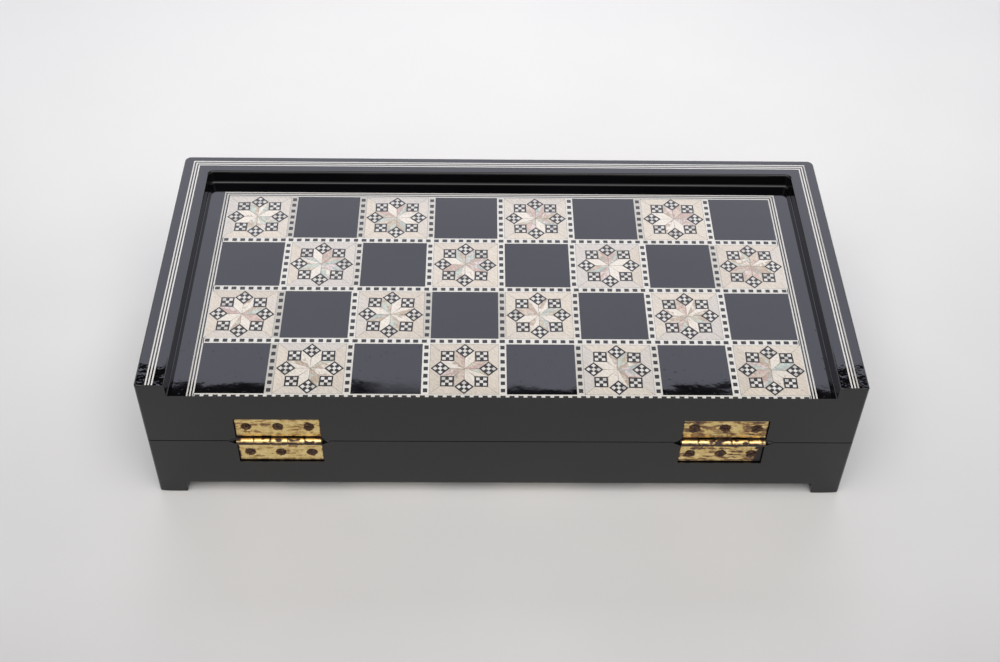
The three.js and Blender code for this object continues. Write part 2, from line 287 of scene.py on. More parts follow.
def blackLacquer():
    # wood sprayed and brushed with black polyester lacquer, rubbed and polished: deep black, mirror-like,
    # with slow ripples in the film, hazy wiped patches and a few dust nibs
    look = lacquerLook
    material, tree, place = startMaterial("black_polyester_lacquer", {"IOR": 1.54})
    haze = cloudOf(tree, place, scale=14, detail=5, roughness=0.6)
    smears = cloudOf(tree, stretched(tree, place, (9, 42, 42)), scale=1, detail=6, roughness=0.65)
    # slow waves about 25 mm apart in the film, orange peel about 6 mm apart, and dust nibs
    wave = cloudOf(tree, place, scale=34, detail=1, roughness=0.4)
    peel = cloudOf(tree, place, scale=165, detail=2)
    nibs = rampOf(tree, cloudOf(tree, place, scale=520, detail=1, roughness=0.4), [(0.72, 0.0), (0.8, 1.0)])
    # the rim has been rubbed down a little more towards its two ends, above the hinges
    parts = addNode(tree, "ShaderNodeSeparateXYZ", {}, {"Vector": place}).outputs
    end = (half["frontY"] + axisY) * mm
    near = rangeOf(tree, parts["Y"], end, end + look["rubbedRun"], 1.0, 0.0)
    above = mathOf(tree, "GREATER_THAN", parts["Z"], (half["rim"] + seamZ - look["rimBand"]) * mm)
    onRim = mathOf(tree, "MULTIPLY", mathOf(tree, "POWER", near, 2.0), above)
    scuff = cloudOf(tree, place, scale=120, detail=3, roughness=0.55)
    rubbed = bumpOf(tree, mathOf(tree, "MULTIPLY", onRim, scuff), 1.0, look["rubbedDepth"])
    slow = bumpOf(tree, wave, look["wave"], look["waveDepth"], rubbed)
    skin = bumpOf(tree, peel, look["peel"], look["peelDepth"], slow)
    wire(tree, {
        "Base Color": rampOf(tree, haze, look["tones"]),
        "Roughness": rampOf(tree, smears, look["roughness"]),
        "Normal": bumpOf(tree, nibs, look["nib"], look["nibDepth"], skin),
    })
    return material


def inlay(name, stops, grainScale, roughness, bump):
    # one thin piece let into the board; the shade attribute makes every piece its own tone
    material, tree, place = startMaterial(name, {"Roughness": roughness, "IOR": 1.54})
    grain = cloudOf(tree, place, scale=grainScale, detail=4, roughness=0.6)
    mixed = mathOf(tree, "MULTIPLY_ADD", grain, 0.55, attributeOf(tree, "shade"))
    wire(tree, {"Base Color": rampOf(tree, mixed, stops), "Normal": bumpOf(tree, grain, 0.2, bump)})
    return material


def motherOfPearl(name, stops, lustre, metallic):
    # sawn and polished shell: milky, with clouds of faint colour and growth bands about 1.5 mm apart
    material, tree, place = startMaterial(name, {"Roughness": 0.16, "IOR": 1.53, "Metallic": metallic})
    shade = attributeOf(tree, "shade")
    # every piece is cut from another place in the shell, so its pattern is shifted by its shade
    shift = addNode(tree, "ShaderNodeCombineXYZ", {}, {"X": shade, "Y": shade}).outputs[0]
    moved = addNode(tree, "ShaderNodeVectorMath", {"operation": "MULTIPLY_ADD", 1: (7.3, 3.1, 0)},
                    {0: shift, 2: place}).outputs[0]
    clouds = cloudOf(tree, moved, scale=170, detail=5, roughness=0.62, distortion=0.8)
    growth = {"Scale": 210, "Distortion": 9, "Detail": 3, "Detail Scale": 1.6, "bands_direction": "DIAGONAL"}
    bands = addNode(tree, "ShaderNodeTexWave", growth, {"Vector": moved}).outputs["Fac"]
    tone = rampOf(tree, mathOf(tree, "MULTIPLY_ADD", clouds, lustre, shade), stops)
    veil = rampOf(tree, bands, [(0.1, "#ece9e4"), (0.6, "#ffffff")])
    colour = multiplied(tree, tone, veil, 0.75)
    wire(tree, {"Base Color": colour, "Normal": bumpOf(tree, bands, 0.12, 0.0001)})
    return material


def wornBrass():
    # rolled sheet brass, once lacquered over: bright in the middle, brown tarnish round it and dark lacquer
    # left along the edges and round the screws, and painted shade under the knuckles and in the gap behind
    # the barrel, as the vertex attribute says
    material, tree, place = startMaterial("rolled_brass_worn", {"Metallic": 1.0})
    blotch = cloudOf(tree, place, scale=260, detail=6, roughness=0.68)
    rolling = cloudOf(tree, stretched(tree, place, (120, 1500, 1500)), scale=1, detail=3)
    dirtAndShade = mathOf(tree, "MULTIPLY_ADD", blotch, 0.55, attributeOf(tree, "grime_and_shade"))
    tones = [(0.18, "#fae8b4"), (0.36, "#e6ca88"), (0.47, "#b89666"), (0.57, "#80644f"), (0.7, "#3d2a24"),
             (0.92, "#1b1412")]
    lines = bumpOf(tree, rolling, 0.25, 0.00004)
    wire(tree, {
        "Base Color": rampOf(tree, dirtAndShade, tones),
        "Metallic": rampOf(tree, dirtAndShade, [(0.52, 1.0), (0.68, 0.1)]),
        "Roughness": rampOf(tree, dirtAndShade, [(0.2, 0.3), (0.7, 0.5)]),
        "Normal": bumpOf(tree, dirtAndShade, 0.4, 0.00015, lines),
    })
    return material


def wood(name, dark, pale, ringScale, roughness, direction=(1, 9, 9)):
    # planed and varnished wood: long streaks of grain along one axis with short pores in them
    material, tree, place = startMaterial(name, {"Roughness": roughness, "IOR": 1.5})
    shade = attributeOf(tree, "shade")
    shift = addNode(tree, "ShaderNodeCombineXYZ", {}, {"X": shade, "Y": shade, "Z": shade}).outputs[0]
    moved = addNode(tree, "ShaderNodeVectorMath", {"operation": "ADD"}, {0: place, 1: shift}).outputs[0]
    along = stretched(tree, moved, direction)
    rings = cloudOf(tree, along, scale=ringScale, detail=6, roughness=0.62, distortion=0.4)
    tone = rampOf(tree, rings, [(0.32, dark), (0.68, pale)])
    wire(tree, {"Base Color": tone, "Normal": bumpOf(tree, rings, 0.25, 0.0001)})
    return material


def pittedMetal(name, metallic, scale, detail, roughness, tones, gloss, bump, depth):
    # one noise gives the metal its spots of colour, its dull places and its pits
    material, tree, place = startMaterial(name, {"Metallic": metallic})
    pits = cloudOf(tree, place, scale=scale, detail=detail, roughness=roughness)
    wire(tree, {
        "Base Color": rampOf(tree, pits, tones),
        "Roughness": rampOf(tree, pits, gloss),
        "Normal": bumpOf(tree, pits, bump, depth),
    })
    return material


lacquer = blackLacquer()
ivory = inlay("ivory_coloured_stringing", [(0.2, "#b3b0a7"), (0.6, "#d6d3c9"), (1.0, "#e2e0d8")], 900, 0.2,
              0.00005)
glue = inlay("hide_glue_brown", [(0.2, "#4a3c30"), (1.0, "#7b6a58")], 1500, 0.45, 0.00005)
bone = inlay("cattle_bone_polished", [(0.12, "#d8cdb2"), (0.45, "#f0e8d4")], 380, 0.3, 0.00003)
ebony = inlay("ebony_stringing", [(0.2, "#0e0c0b"), (1.0, "#24201d")], 1200, 0.2, 0.00005)
pearlTones = [(0.2, "#cfc5b5"), (0.5, "#dad0c0"), (0.75, "#ddd3c1"), (1.0, "#d1cbc2")]
pearl = motherOfPearl("mother_of_pearl_white", pearlTones, 0.5, 0.12)
abaloneTones = [
    (0.2, "#b9bfb4"), (0.3, "#a79f92"), (0.4, "#d6cbb6"), (0.48, "#c9a9a0"), (0.56, "#b3a795"),
    (0.64, "#e6d3cf"), (0.72, "#a5afa6"), (0.79, "#c8d5c9"), (0.86, "#c4b49c"), (0.93, "#b5a390"),
    (1.0, "#e6dfd0"),
]
abalone = motherOfPearl("mother_of_pearl_rose_green", abaloneTones, 0.75, 0.2)
brass = wornBrass()
walnut = wood("walnut_veneer", "#3d2616", "#6b472a", 55, 0.32)
maple = wood("maple_veneer", "#c9a877", "#e2c79a", 55, 0.32)
rosewood = wood("rosewood_turned", "#22120d", "#4a2a1e", 120, 0.28, (1, 1, 7))
boxwood = wood("boxwood_turned", "#cfae74", "#e9d3a2", 120, 0.28, (1, 1, 7))
# steel wood screws browned and filled with old lacquer: dull, pitted, nearly black in the pits
screwSteel = pittedMetal(
    "browned_steel_screw", 0.55, 650, 5, 0.7, [(0.35, "#23140e"), (0.52, "#4b3020"), (0.7, "#92704a")],
    [(0.3, 0.6), (0.8, 0.38)], 0.5, 0.0002)
# cast and turned brass fittings, lightly lacquered: even yellow metal with a few dull spots
fittingBrass = pittedMetal(
    "cast_brass_lacquered", 1.0, 420, 5, 0.65, [(0.3, "#8a6a37"), (0.5, "#c9a662"), (0.75, "#e2c584")],
    [(0.3, 0.42), (0.7, 0.24)], 0.3, 0.0001)
print("materials made")


# the lacquered carcass: four walls and the board's ground under one skin of lacquer

carcass = {
    "backCorner": 4.0, "frontCorner": 1.8, "recessCorner": 3.5, "trayCorner": 1, "rimRound": 1.2,
    "frontRound": 0.55, "seamRound": 0.5, "cove": 1.4, "sideCove": 0.35, "mortise": 25.3,
    "mortiseDepth": 2.5, "mortiseReach": 19.6, "hollow": 3.0, "hollowRun": 6.0, "hollowSlack": 0.6,
    "foldAngle": 0.6, "softAngle": 38, "cutFar": 80, "cutNear": -20, "cutInto": 0.5,
}


def roundEdges(bm, chosen, offset, segments):
    bmesh.ops.bevel(bm, geom=chosen, offset=offset, segments=segments, profile=0.5, affect="EDGES",
                    clamp_overlap=True)


def isFolded(edge):
    return len(edge.link_faces) == 2 and edge.calc_face_angle(0) > carcass["foldAngle"]


def levelRim(bm):
    # a bevel can leave a corner standing a hair proud, which would bury the stringing beside it
    for vert in bm.verts:
        vert.co.z = min(vert.co.z, half["rim"])
        vert.co.y = max(vert.co.y, half["frontY"])


def buildCarcass(which):
    c, h = carcass, half
    bm = bmesh.new()
    outline = roundedOutline(-h["endX"], h["frontY"], h["endX"], h["backY"],
                             [c["frontCorner"], c["frontCorner"], c["backCorner"], c["backCorner"]])
    prism(bm, outline, h["seam"], h["rim"])
    shell = newObject(which + "_carcass", meshOf("carcass", bm, Matrix.Scale(1 / mm, 4)))
    bm = bmesh.new()
    corner = c["recessCorner"]
    recess = roundedOutline(-h["innerX"], c["cutNear"], h["innerX"], h["backInnerY"], [0, 0, corner, corner])
    prism(bm, recess, h["board"], c["cutFar"])
    # a cove where the board meets the rim, from the lacquer that gathers in the corner
    foot = [e for e in bm.edges if all(abs(v.co.z - h["board"]) < hair for v in e.verts)
            and not all(v.co.y < c["cutNear"] + hair for v in e.verts)]
    roundEdges(bm, foot, c["cove"], 5)
    # down the sides it is rubbed out to a much tighter one
    for vert in bm.verts:
        if vert.co.z < h["board"] + c["cove"] + hair and vert.co.y < h["backInnerY"] - corner + hair:
            wall = math.copysign(h["innerX"], vert.co.x)
            vert.co.x = wall + (vert.co.x - wall) * c["sideCove"]
            vert.co.z = h["board"] + (vert.co.z - h["board"]) * c["sideCove"]
    recessCutter = inMillimetres("recess", bm)
    bm = bmesh.new()
    corners = [c["trayCorner"]] * 4
    tray = roundedOutline(-h["innerX"], h["hingeInnerY"], h["innerX"], h["backInnerY"], corners, 2)
    prism(bm, tray, c["cutNear"], h["tray"] + c["cutInto"])
    trayCutter = inMillimetres("tray", bm)
    carve(shell, [recessCutter, trayCutter])

    bm = bmesh.new()
    bm.from_mesh(shell.data)
    rim = h["rim"] - hair
    face = h["frontY"] + hair
    rimEdges = [e for e in bm.edges if isFolded(e) and all(v.co.z > rim for v in e.verts)
                and not all(v.co.y < face for v in e.verts)]
    roundEdges(bm, rimEdges, c["rimRound"], 4)
    levelRim(bm)
    front = [e for e in bm.edges if isFolded(e)
             and all(v.co.z > h["board"] - hair and v.co.y < face for v in e.verts)]
    roundEdges(bm, front, c["frontRound"], 3)
    seam = [e for e in bm.edges if isFolded(e) and all(v.co.z < h["seam"] + hair for v in e.verts)]
    roundEdges(bm, seam, c["seamRound"], 2)
    levelRim(bm)
    bm.to_mesh(shell.data)
    bm.free()

    cutters = []
    run = leafBox[1][0] - h["hingeX"]
    straight = run + c["hollowSlack"]
    ends = run + c["hollowRun"]
    trough = [(0, -ends), (c["hollow"], -straight), (c["hollow"], straight), (0, ends)]
    for side in (-1, 1):
        x = side * h["hingeX"]
        bm = bmesh.new()
        opening = roundedOutline(x - c["mortise"], -5, x + c["mortise"], c["mortiseDepth"], [0, 0, 0, 0])
        prism(bm, opening, -1, c["mortiseReach"])
        cutters.append(inMillimetres("mortise", bm))
        lying = Matrix.Translation((x, 0, 0)) @ Matrix.Rotation(math.pi / 2, 4, "Y")
        cutters.append(turned("hollow", trough, lying @ Matrix.Scale(1 / mm, 4), 32))
    carve(shell, cutters)
    shell.data.transform(halfMatrix[which] @ Matrix.Scale(mm, 4))
    smoothByAngle(shell.data, c["softAngle"])
    weights = shell.modifiers.new("even_normals", "WEIGHTED_NORMAL")
    weights.keep_sharp = True
    names = ["left_wall", "right_wall", "back_wall", "hinge_wall", "panel"]
    giveMaterials(shell, lacquer)
    finishPiece(shell, which, [which + "_" + n for n in names])


for which in ("lid", "base"):
    buildCarcass(which)
print("carcass built")


# flat inlays: every strip, dash and tile is its own thin slip, let in with its top a hair above the ground

inlaySunk = 0.25


def signedArea(outline):
    pairs = zip(outline, outline[1:] + outline[:1])
    return sum(a[0] * b[1] - b[0] * a[1] for a, b in pairs) / 2


class Sheet:
    def __init__(self, seed):
        self.parts = {}
        self.random = random.Random(seed)

    def add(self, kind, points, lift, shade=None):
        tone = self.random.random() if shade is None else shade
        self.parts.setdefault(kind, []).append((points, lift, tone))

    def bar(self, kind, x0, y0, x1, y1, lift, shade=None):
        self.add(kind, [(x0, y0), (x1, y0), (x1, y1), (x0, y1)], lift, shade)

    def make(self, name, level, up, matrix, body, finishes, stands):
        # up is +1 where the sheet is seen from the half's outside and -1 where it is seen from the tray
        for kind, parts in self.parts.items():
            mesh = bpy.data.meshes.new(name + "_" + kind)
            points, faces, shades = [], [], []
            for outline, lift, tone in parts:
                ring = outline if signedArea(outline) * up > 0 else outline[::-1]
                start, count = len(points), len(ring)
                points += [(x * mm, y * mm, (level + up * lift) * mm) for x, y in ring]
                points += [(x * mm, y * mm, (level - up * inlaySunk) * mm) for x, y in ring]
                faces.append([start + i for i in range(count)])
                faces.append([start + count + i for i in reversed(range(count))])
                for i in range(count):
                    j = (i + 1) % count
                    faces.append([start + count + i, start + count + j, start + j, start + i])
                shades += [tone] * (count + 2)
            mesh.from_pydata(points, [], faces)
            mesh.transform(matrix)
            mesh.attributes.new("shade", "FLOAT", "FACE").data.foreach_set("value", shades)
            piece = newObject(name + "_" + kind, mesh)
            giveMaterials(piece, finishes[kind])
            finishPiece(piece, body, stands)


star = {
    "rhombus": 8.4, "square": 8.0, "border": 0.9, "joint": 0.1, "turn": 1.2, "shift": 0.2, "slipSheen": 0.3,
    "squareTurn": 0.5, "squareTilt": 2, "cellFill": 0.98,
}


def polar(radius, degrees):
    angle = math.radians(degrees)
    return radius * math.cos(angle), radius * math.sin(angle)


def shrunk(points, gap):
    # pulls an outline's corners towards its middle, so a thin dark joint shows round it
    mx = sum(p[0] for p in points) / len(points)
    my = sum(p[1] for p in points) / len(points)
    out = []
    for x, y in points:
        far = math.hypot(x - mx, y - my)
        keep = max(0.0, 1 - 1.3 * gap / far)
        out.append((mx + (x - mx) * keep, my + (y - my) * keep))
    return out


def addStar(sheet, cx, cy, size=1.0, lift=0.05, stars="star", pale="ivory", dark="ebony"):
    # eight shell rhombuses, and a chequered square in each of the eight notches between them
    s = star
    rnd = sheet.random
    turn = rnd.uniform(-s["turn"], s["turn"])
    cx += rnd.uniform(-s["shift"], s["shift"])
    cy += rnd.uniform(-s["shift"], s["shift"])
    a = s["rhombus"] * size
    for k in range(8):
        left = polar(a, 45 * k + turn)
        right = polar(a, 45 * (k + 1) + turn)
        tip = (left[0] + right[0], left[1] + right[1])
        tone = rnd.random()
        sheet.add("glue", [(cx + x, cy + y) for x, y in ((0, 0), left, tip, right)], lift - 0.01)
        # each ray is two slips of shell, laid with the grain turned; one is painted darker than the other, a
        # painted sheen for the light each slip catches
        apart = rnd.uniform(-s["slipSheen"], s["slipSheen"])
        for outline, step in (([(0, 0), left, tip], 0.0), ([(0, 0), tip, right], apart)):
            placed = [(cx + x, cy + y) for x, y in shrunk(outline, s["joint"] * 1.5)]
            sheet.add(stars, placed, lift, min(1.0, max(0.0, tone + step)))
    side = s["square"] * size
    for k in range(8):
        facing = 45 * k + turn
        away = a + side / math.sqrt(2) + s["joint"]
        middle = polar(away, facing + rnd.uniform(-s["squareTurn"], s["squareTurn"]))
        tilt = facing + 45 + rnd.uniform(-s["squareTilt"], s["squareTilt"])
        mx, my = cx + middle[0], cy + middle[1]

        def corner(u, v):
            x, y = polar(math.hypot(u, v), math.degrees(math.atan2(v, u)) + tilt)
            return mx + x, my + y

        e = side / 2
        sheet.add(dark, [corner(-e, -e), corner(e, -e), corner(e, e), corner(-e, e)], lift, 0.2)
        cell = (side - 2 * s["border"] * size) / 3
        for i, j in ((-1, -1), (1, -1), (0, 0), (-1, 1), (1, 1)):
            u, v, r = i * cell, j * cell, cell / 2 * s["cellFill"]
            sides = ((u - r, v - r), (u + r, v - r), (u + r, v + r), (u - r, v + r))
            sheet.add(pale, [corner(p, q) for p, q in sides], lift + 0.02)


board = {
    "columns": 8, "rows": 4, "pitchX": 45.0, "pitchY": 44.05, "strip": 4.5, "dash": 2.55, "dashLength": 2.95,
    "dashPitch": 5.1, "border": 4.6, "line": 0.85, "lineStep": 1.75, "lineIn": 0.7, "frontIn": 0.35,
    "clear": 0.1, "dashShift": 0.15, "dashDrift": 0.08, "dashShort": 0.92, "dashLong": 1.05, "lift": 0.03,
    "seeds": (11, 23),
}


def addDashes(sheet, x0, y0, x1, y1, lift):
    # an ivory strip with a row of ebony dashes along its middle
    b = board
    sheet.bar("ivory", x0, y0, x1, y1, lift)
    along = x1 - x0 > y1 - y0
    length = (x1 - x0) if along else (y1 - y0)
    middle = (y0 + y1) / 2 if along else (x0 + x1) / 2
    count = int(length / b["dashPitch"])
    step = length / count
    e = b["dash"] / 2
    longHalf = b["dashLength"] / 2
    for i in range(count):
        at = (x0 if along else y0) + (i + 0.5) * step + sheet.random.uniform(-b["dashShift"], b["dashShift"])
        across = middle + sheet.random.uniform(-b["dashDrift"], b["dashDrift"])
        wide = longHalf * sheet.random.uniform(b["dashShort"], b["dashLong"])
        if along:
            sheet.bar("ebony", at - wide, across - e, at + wide, across + e, lift + 0.02)
        else:
            sheet.bar("ebony", across - e, at - wide, across + e, at + wide, lift + 0.02)


def addTile(sheet, x0, y0, x1, y1):
    gap = star["joint"]
    cx, cy = (x0 + x1) / 2, (y0 + y1) / 2
    # four triangles of shell meet in the middle, under the star
    corners = [(x0 + gap, y0 + gap), (x1 - gap, y0 + gap), (x1 - gap, y1 - gap), (x0 + gap, y1 - gap)]
    for i in range(4):
        sheet.add("pearl", shrunk([corners[i], corners[(i + 1) % 4], (cx, cy)], gap), 0.02)
    addStar(sheet, cx, cy)


def buildChessBoard(which):
    b = board
    sheet = Sheet(b["seeds"][which == "base"])
    left = -b["columns"] * b["pitchX"] / 2
    front = half["frontY"] + b["frontIn"]
    back = front + b["rows"] * b["pitchY"] - b["strip"] / 2 + b["border"] / 2
    s = b["strip"] / 2
    inner = b["border"] / 2
    lift = b["lift"]

    # triple ivory lines down both sides and across the back, mitred at the corners
    w = b["line"] / 2
    for k in (-1, 0, 1):
        o = k * b["lineStep"]
        edge = -left - b["lineIn"] + o
        xa, xb = edge - w, edge + w
        ya, yb = back + o - w, back + o + w
        for side in (-1, 1):
            line = [(side * xa, front), (side * xb, front), (side * xb, yb), (side * xa, ya)]
            sheet.add("ivory", line, lift)
        sheet.add("ivory", [(-xa, ya), (xa, ya), (xb, yb), (-xb, yb)], lift)

    rows = [front + j * b["pitchY"] for j in range(b["rows"] + 1)]
    rows[-1] = back - inner + s
    columns = [left + i * b["pitchX"] for i in range(b["columns"] + 1)]
    stripLeft = left + inner + b["clear"]
    stripRight = -left - inner - b["clear"]
    for j in range(1, b["rows"]):
        addDashes(sheet, stripLeft, rows[j] - s, stripRight, rows[j] + s, lift)
    # the strip at the hinge edge is only half as wide, because the other half board has the rest of it
    sheet.bar("ivory", stripLeft, front, stripRight, front + s, lift)
    count = int((-2 * left - b["border"]) / b["dashPitch"])
    e = b["dashLength"] / 2
    for i in range(count):
        at = left + inner + (i + 0.5) * (-2 * left - b["border"]) / count
        sheet.bar("ebony", at - e, front, at + e, front + b["dash"] / 2, lift + 0.02)
    for i in range(b["columns"]):
        for j in range(b["rows"]):
            y0 = rows[j] + s
            y1 = rows[j + 1] - s
            if i > 0:
                addDashes(sheet, columns[i] - s, y0, columns[i] + s, y1, lift)
            if (i + j) % 2 == 1:
                x0 = columns[i] + (s if i > 0 else inner)
                x1 = columns[i + 1] - (s if i < b["columns"] - 1 else inner)
                addTile(sheet, x0, y0, x1, y1)
    finishes = {"ivory": ivory, "ebony": ebony, "pearl": pearl, "star": abalone, "glue": glue}
    sheet.make(which + "_chess_inlay", half["board"], 1, halfMatrix[which], which, finishes,
               [which + "_chess_veneer"])


rimLines = {"fromInner": 8.8, "fromBack": 6.9, "line": 0.85, "step": 1.8, "stopShort": 0.5}


def buildRimLines(which):
    r = rimLines
    sheet = Sheet(5)
    x = half["innerX"] + r["fromInner"]
    y = half["backY"] - r["fromBack"]
    front = half["frontY"] + r["stopShort"]
    for k in (-1, 0, 1):
        w = r["line"] / 2
        o = k * r["step"]
        xa, xb = x + o - w, x + o + w
        ya, yb = y + o - w, y + o + w
        sheet.add("ivory", [(xa, front), (xb, front), (xb, yb), (xa, ya)], 0.02)
        sheet.add("ivory", [(-xb, front), (-xa, front), (-xa, ya), (-xb, yb)], 0.02)
        sheet.add("ivory", [(-xa, ya), (xa, ya), (xb, yb), (-xb, yb)], 0.02)
    sheet.make(which + "_rim_stringing", half["rim"], 1, halfMatrix[which], which,
               {"ivory": ivory}, [])


for which in ("lid", "base"):
    buildChessBoard(which)
    buildRimLines(which)
print("chess boards and stringing laid")


# butt hinges: worn brass leaves let into the hinge walls, with dark screws

leafLook = {
    "thickness": 1.2, "back": 2.4, "near": 3.1, "nearBase": 4.5, "barrel": 2.25, "knuckles": 5, "gap": 0.35,
    "cell": 0.5, "cornerRound": 0.9, "screwAlong": 18.5, "screwOut": 11.8, "sink": 3.4, "sinkDepth": 0.42,
    "sinkSlope": 0.8, "score": 1.25, "scoreDepth": 0.12, "edgeDrop": 0.18, "barrelEnd": 0.22, "sides": 28,
    "steps": 14, "tongueIn": 1.55, "tongueFoot": 0.6, "softAngle": 50, "load": {"left": 0.1, "right": 0.75},
}
# under and tongue are painted shade; the other values are dirt, tarnish and spilt lacquer
grimeAndShadeLook = {
    "bare": 0.05, "screw": 0.55, "edge": 0.45, "streak": 0.2, "stain": 0.27, "spill": 0.75, "score": 0.34,
    "skirt": 0.3, "tongueShade": 0.55, "under": 0.5,
}


def upTo(level, value, softness):
    # rises from nothing to the level while the value goes from nothing to the softness
    return level * min(1.0, max(0.0, value / softness))


def leafGrime(x, z, seed, load, halfRun, near, far, spillSide):
    # dark lacquer is left round the screws, along the outer edge and in streaks along the rolling marks;
    # spillSide is the end where black lacquer has run over one corner, or 0 for none
    look, g = leafLook, grimeAndShadeLook
    wobble = noise.noise((x * 0.33 + seed, z * 0.45, seed)) + 0.5 * noise.noise((x * 1.1, z * 1.4, seed))
    layers = [g["bare"] + 0.08 * wobble]
    for k in (-1, 0, 1):
        distance = math.hypot(x - k * look["screwAlong"], (z - look["screwOut"]) * 0.95)
        layers.append(upTo(g["screw"], 3.3 + 1.6 * wobble + 0.5 * load - distance, 0.8))
    edge = min(halfRun - abs(x), far - z, 2.2 * (z - near))
    layers.append(upTo(g["edge"], 0.55 + 0.9 * wobble - edge, 0.5))
    streak = noise.noise((x * 0.09 + seed * 3, z * 0.95, seed * 2))
    streak += 0.35 * noise.noise((x * 0.6, z * 2.2, seed))
    layers.append(upTo(g["streak"] + 0.27 * load, streak - 0.38 + 0.2 * load, 0.16))
    # thin brown stains that let the metal through, far more of them on the dirtier hinge
    stain = noise.noise((x * 0.13 + seed, z * 0.34, seed * 2.3))
    stain += 0.4 * noise.noise((x * 0.5, z * 1.3, seed * 1.7))
    layers.append(upTo(g["stain"], stain + 0.5 * load - 0.36, 0.25))
    if spillSide:
        layers.append(upTo(g["spill"], 1.6 + 3 * wobble - (halfRun - 3 - spillSide * x), 1.2))
    # a scored line just inside the outer edge holds dirt too
    layers.append(g["score"] - abs(far - look["score"] - z) * 0.9 + 0.2 * wobble)
    return max(layers)


def addPlate(bm, layer, which, side, seed, load):
    # the flat of a leaf: a fine grid that dips at the screws, and a skirt down to its back
    look = leafLook
    halfRun = leafBox[1][0] - half["hingeX"]
    far = leafBox[1][2] - seamZ
    near = look["near"] if which == "lid" else look["nearBase"]
    spillSide = side if load > 0.5 and which == "base" else 0
    outer = look["back"] - look["thickness"]
    bend = look["cornerRound"]
    columns = round(2 * halfRun / look["cell"])
    rows = round((far - near) / look["cell"])
    grid = []
    for j in range(rows + 1):
        row = []
        for i in range(columns + 1):
            x = -halfRun + 2 * halfRun * i / columns
            z = near + (far - near) * j / rows
            grime_and_shade = leafGrime(x, z, seed, load, halfRun, near, far, spillSide)
            # round the two outer corners
            cx = max(0.0, abs(x) - (halfRun - bend))
            cz = max(0.0, z - (far - bend))
            pull = math.hypot(cx, cz)
            if pull > bend:
                x = math.copysign(halfRun - bend + cx * bend / pull, x)
                z = far - bend + cz * bend / pull
            depth = 0.0
            for k in (-1, 0, 1):
                distance = math.hypot(x - k * look["screwAlong"], z - look["screwOut"])
                depth = max(depth, min(look["sinkDepth"], (look["sink"] - distance) * look["sinkSlope"]))
            onEdge = i in (0, columns) or j in (0, rows)
            dent = 0.05 + 0.05 * noise.noise((x * 0.2, z * 0.2, seed))
            scored = max(0.0, look["scoreDepth"] - 0.3 * abs(far - look["score"] - z))
            y = outer + depth + dent + scored + (look["edgeDrop"] if onEdge else 0.0)
            vert = bm.verts.new((x, y, z))
            vert[layer] = grime_and_shade
            row.append(vert)
        grid.append(row)
    for j in range(rows):
        for i in range(columns):
            bm.faces.new((grid[j][i], grid[j][i + 1], grid[j + 1][i + 1], grid[j + 1][i]))
    border = grid[0] + [row[-1] for row in grid[1:]] + grid[-1][-2::-1] + [row[0] for row in grid[-2:0:-1]]
    skirt = []
    for vert in border:
        lower = bm.verts.new((vert.co.x, look["back"], vert.co.z))
        lower[layer] = grimeAndShadeLook["skirt"]
        skirt.append(lower)
    for i in range(len(border)):
        j = (i + 1) % len(border)
        bm.faces.new((border[i], skirt[i], skirt[j], border[j]))
    bm.faces.new(skirt)


def knuckleGrime(x, angle, which, seed, load):
    patch = noise.noise((x * 0.24, 0.9 * math.cos(angle) + seed, 0.9 * math.sin(angle)))
    # painted shade: the side turned down to the floor is painted darker, where less light falls on it
    down = math.sin(angle) * (1 if which == "lid" else -1) + 0.5 * patch
    under = upTo(grimeAndShadeLook["under"], 0.44 - down, 0.14)
    return max(under, min(0.5, max(0.04, 0.1 + 1.9 * (patch - 0.04 - 0.05 * load))))


def addKnuckle(bm, layer, start, length, which, seed, load):
    look = leafLook
    sides, steps = look["sides"], look["steps"]
    rings = []
    for n in range(steps + 1):
        x = start + length * n / steps
        radius = look["barrel"] - (look["barrelEnd"] if n in (0, steps) else 0.0)
        ring = []
        for m in range(sides):
            angle = 2 * math.pi * m / sides
            vert = bm.verts.new((x, radius * math.cos(angle), radius * math.sin(angle)))
            vert[layer] = knuckleGrime(x, angle, which, seed, load)
            ring.append(vert)
        rings.append(ring)
    for lower, upper in zip(rings, rings[1:]):
        for m in range(sides):
            bm.faces.new((lower[m], lower[(m + 1) % sides], upper[(m + 1) % sides], upper[m]))
    bm.faces.new(rings[0])
    bm.faces.new(rings[-1])
    # the leaf's own metal runs under the barrel and curls into the knuckle; it is painted dark, a painted
    # shade in the gap between barrel and leaf
    end = start + length
    top = (look["near"] if which == "lid" else look["nearBase"]) + 0.3
    plate = [(start, look["tongueIn"]), (end, look["tongueIn"]), (end, look["back"]), (start, look["back"])]
    low = [bm.verts.new((x, y, look["tongueFoot"])) for x, y in plate]
    high = [bm.verts.new((x, y, top)) for x, y in plate]
    for n in range(4):
        bm.faces.new((low[n], low[(n + 1) % 4], high[(n + 1) % 4], high[n]))
    bm.faces.new(low)
    bm.faces.new(high)
    # painted shade: the tongue gets a dark value
    for vert in low + high:
        vert[layer] = grimeAndShadeLook["tongueShade"]


def buildLeaf(name, which, side, firstKnuckle, seed, load):
    look = leafLook
    bm = bmesh.new()
    layer = bm.verts.layers.float.new("grime_and_shade")
    addPlate(bm, layer, which, side, seed, load)
    halfRun = leafBox[1][0] - half["hingeX"]
    length = (2 * halfRun - (look["knuckles"] - 1) * look["gap"]) / look["knuckles"]
    # each leaf of a pair has every second knuckle
    for k in range(firstKnuckle, look["knuckles"], 2):
        start = -halfRun + k * (length + look["gap"])
        addKnuckle(bm, layer, start, length, which, seed, load)
    bmesh.ops.recalc_face_normals(bm, faces=bm.faces)
    mesh = meshOf(name, bm, halfMatrix[which] @ Matrix.Translation((side * half["hingeX"] * mm, 0, 0)))
    smoothByAngle(mesh, look["softAngle"])
    piece = newObject(name + "_brass", mesh)
    giveMaterials(piece, brass)
    finishPiece(piece, which, [name])


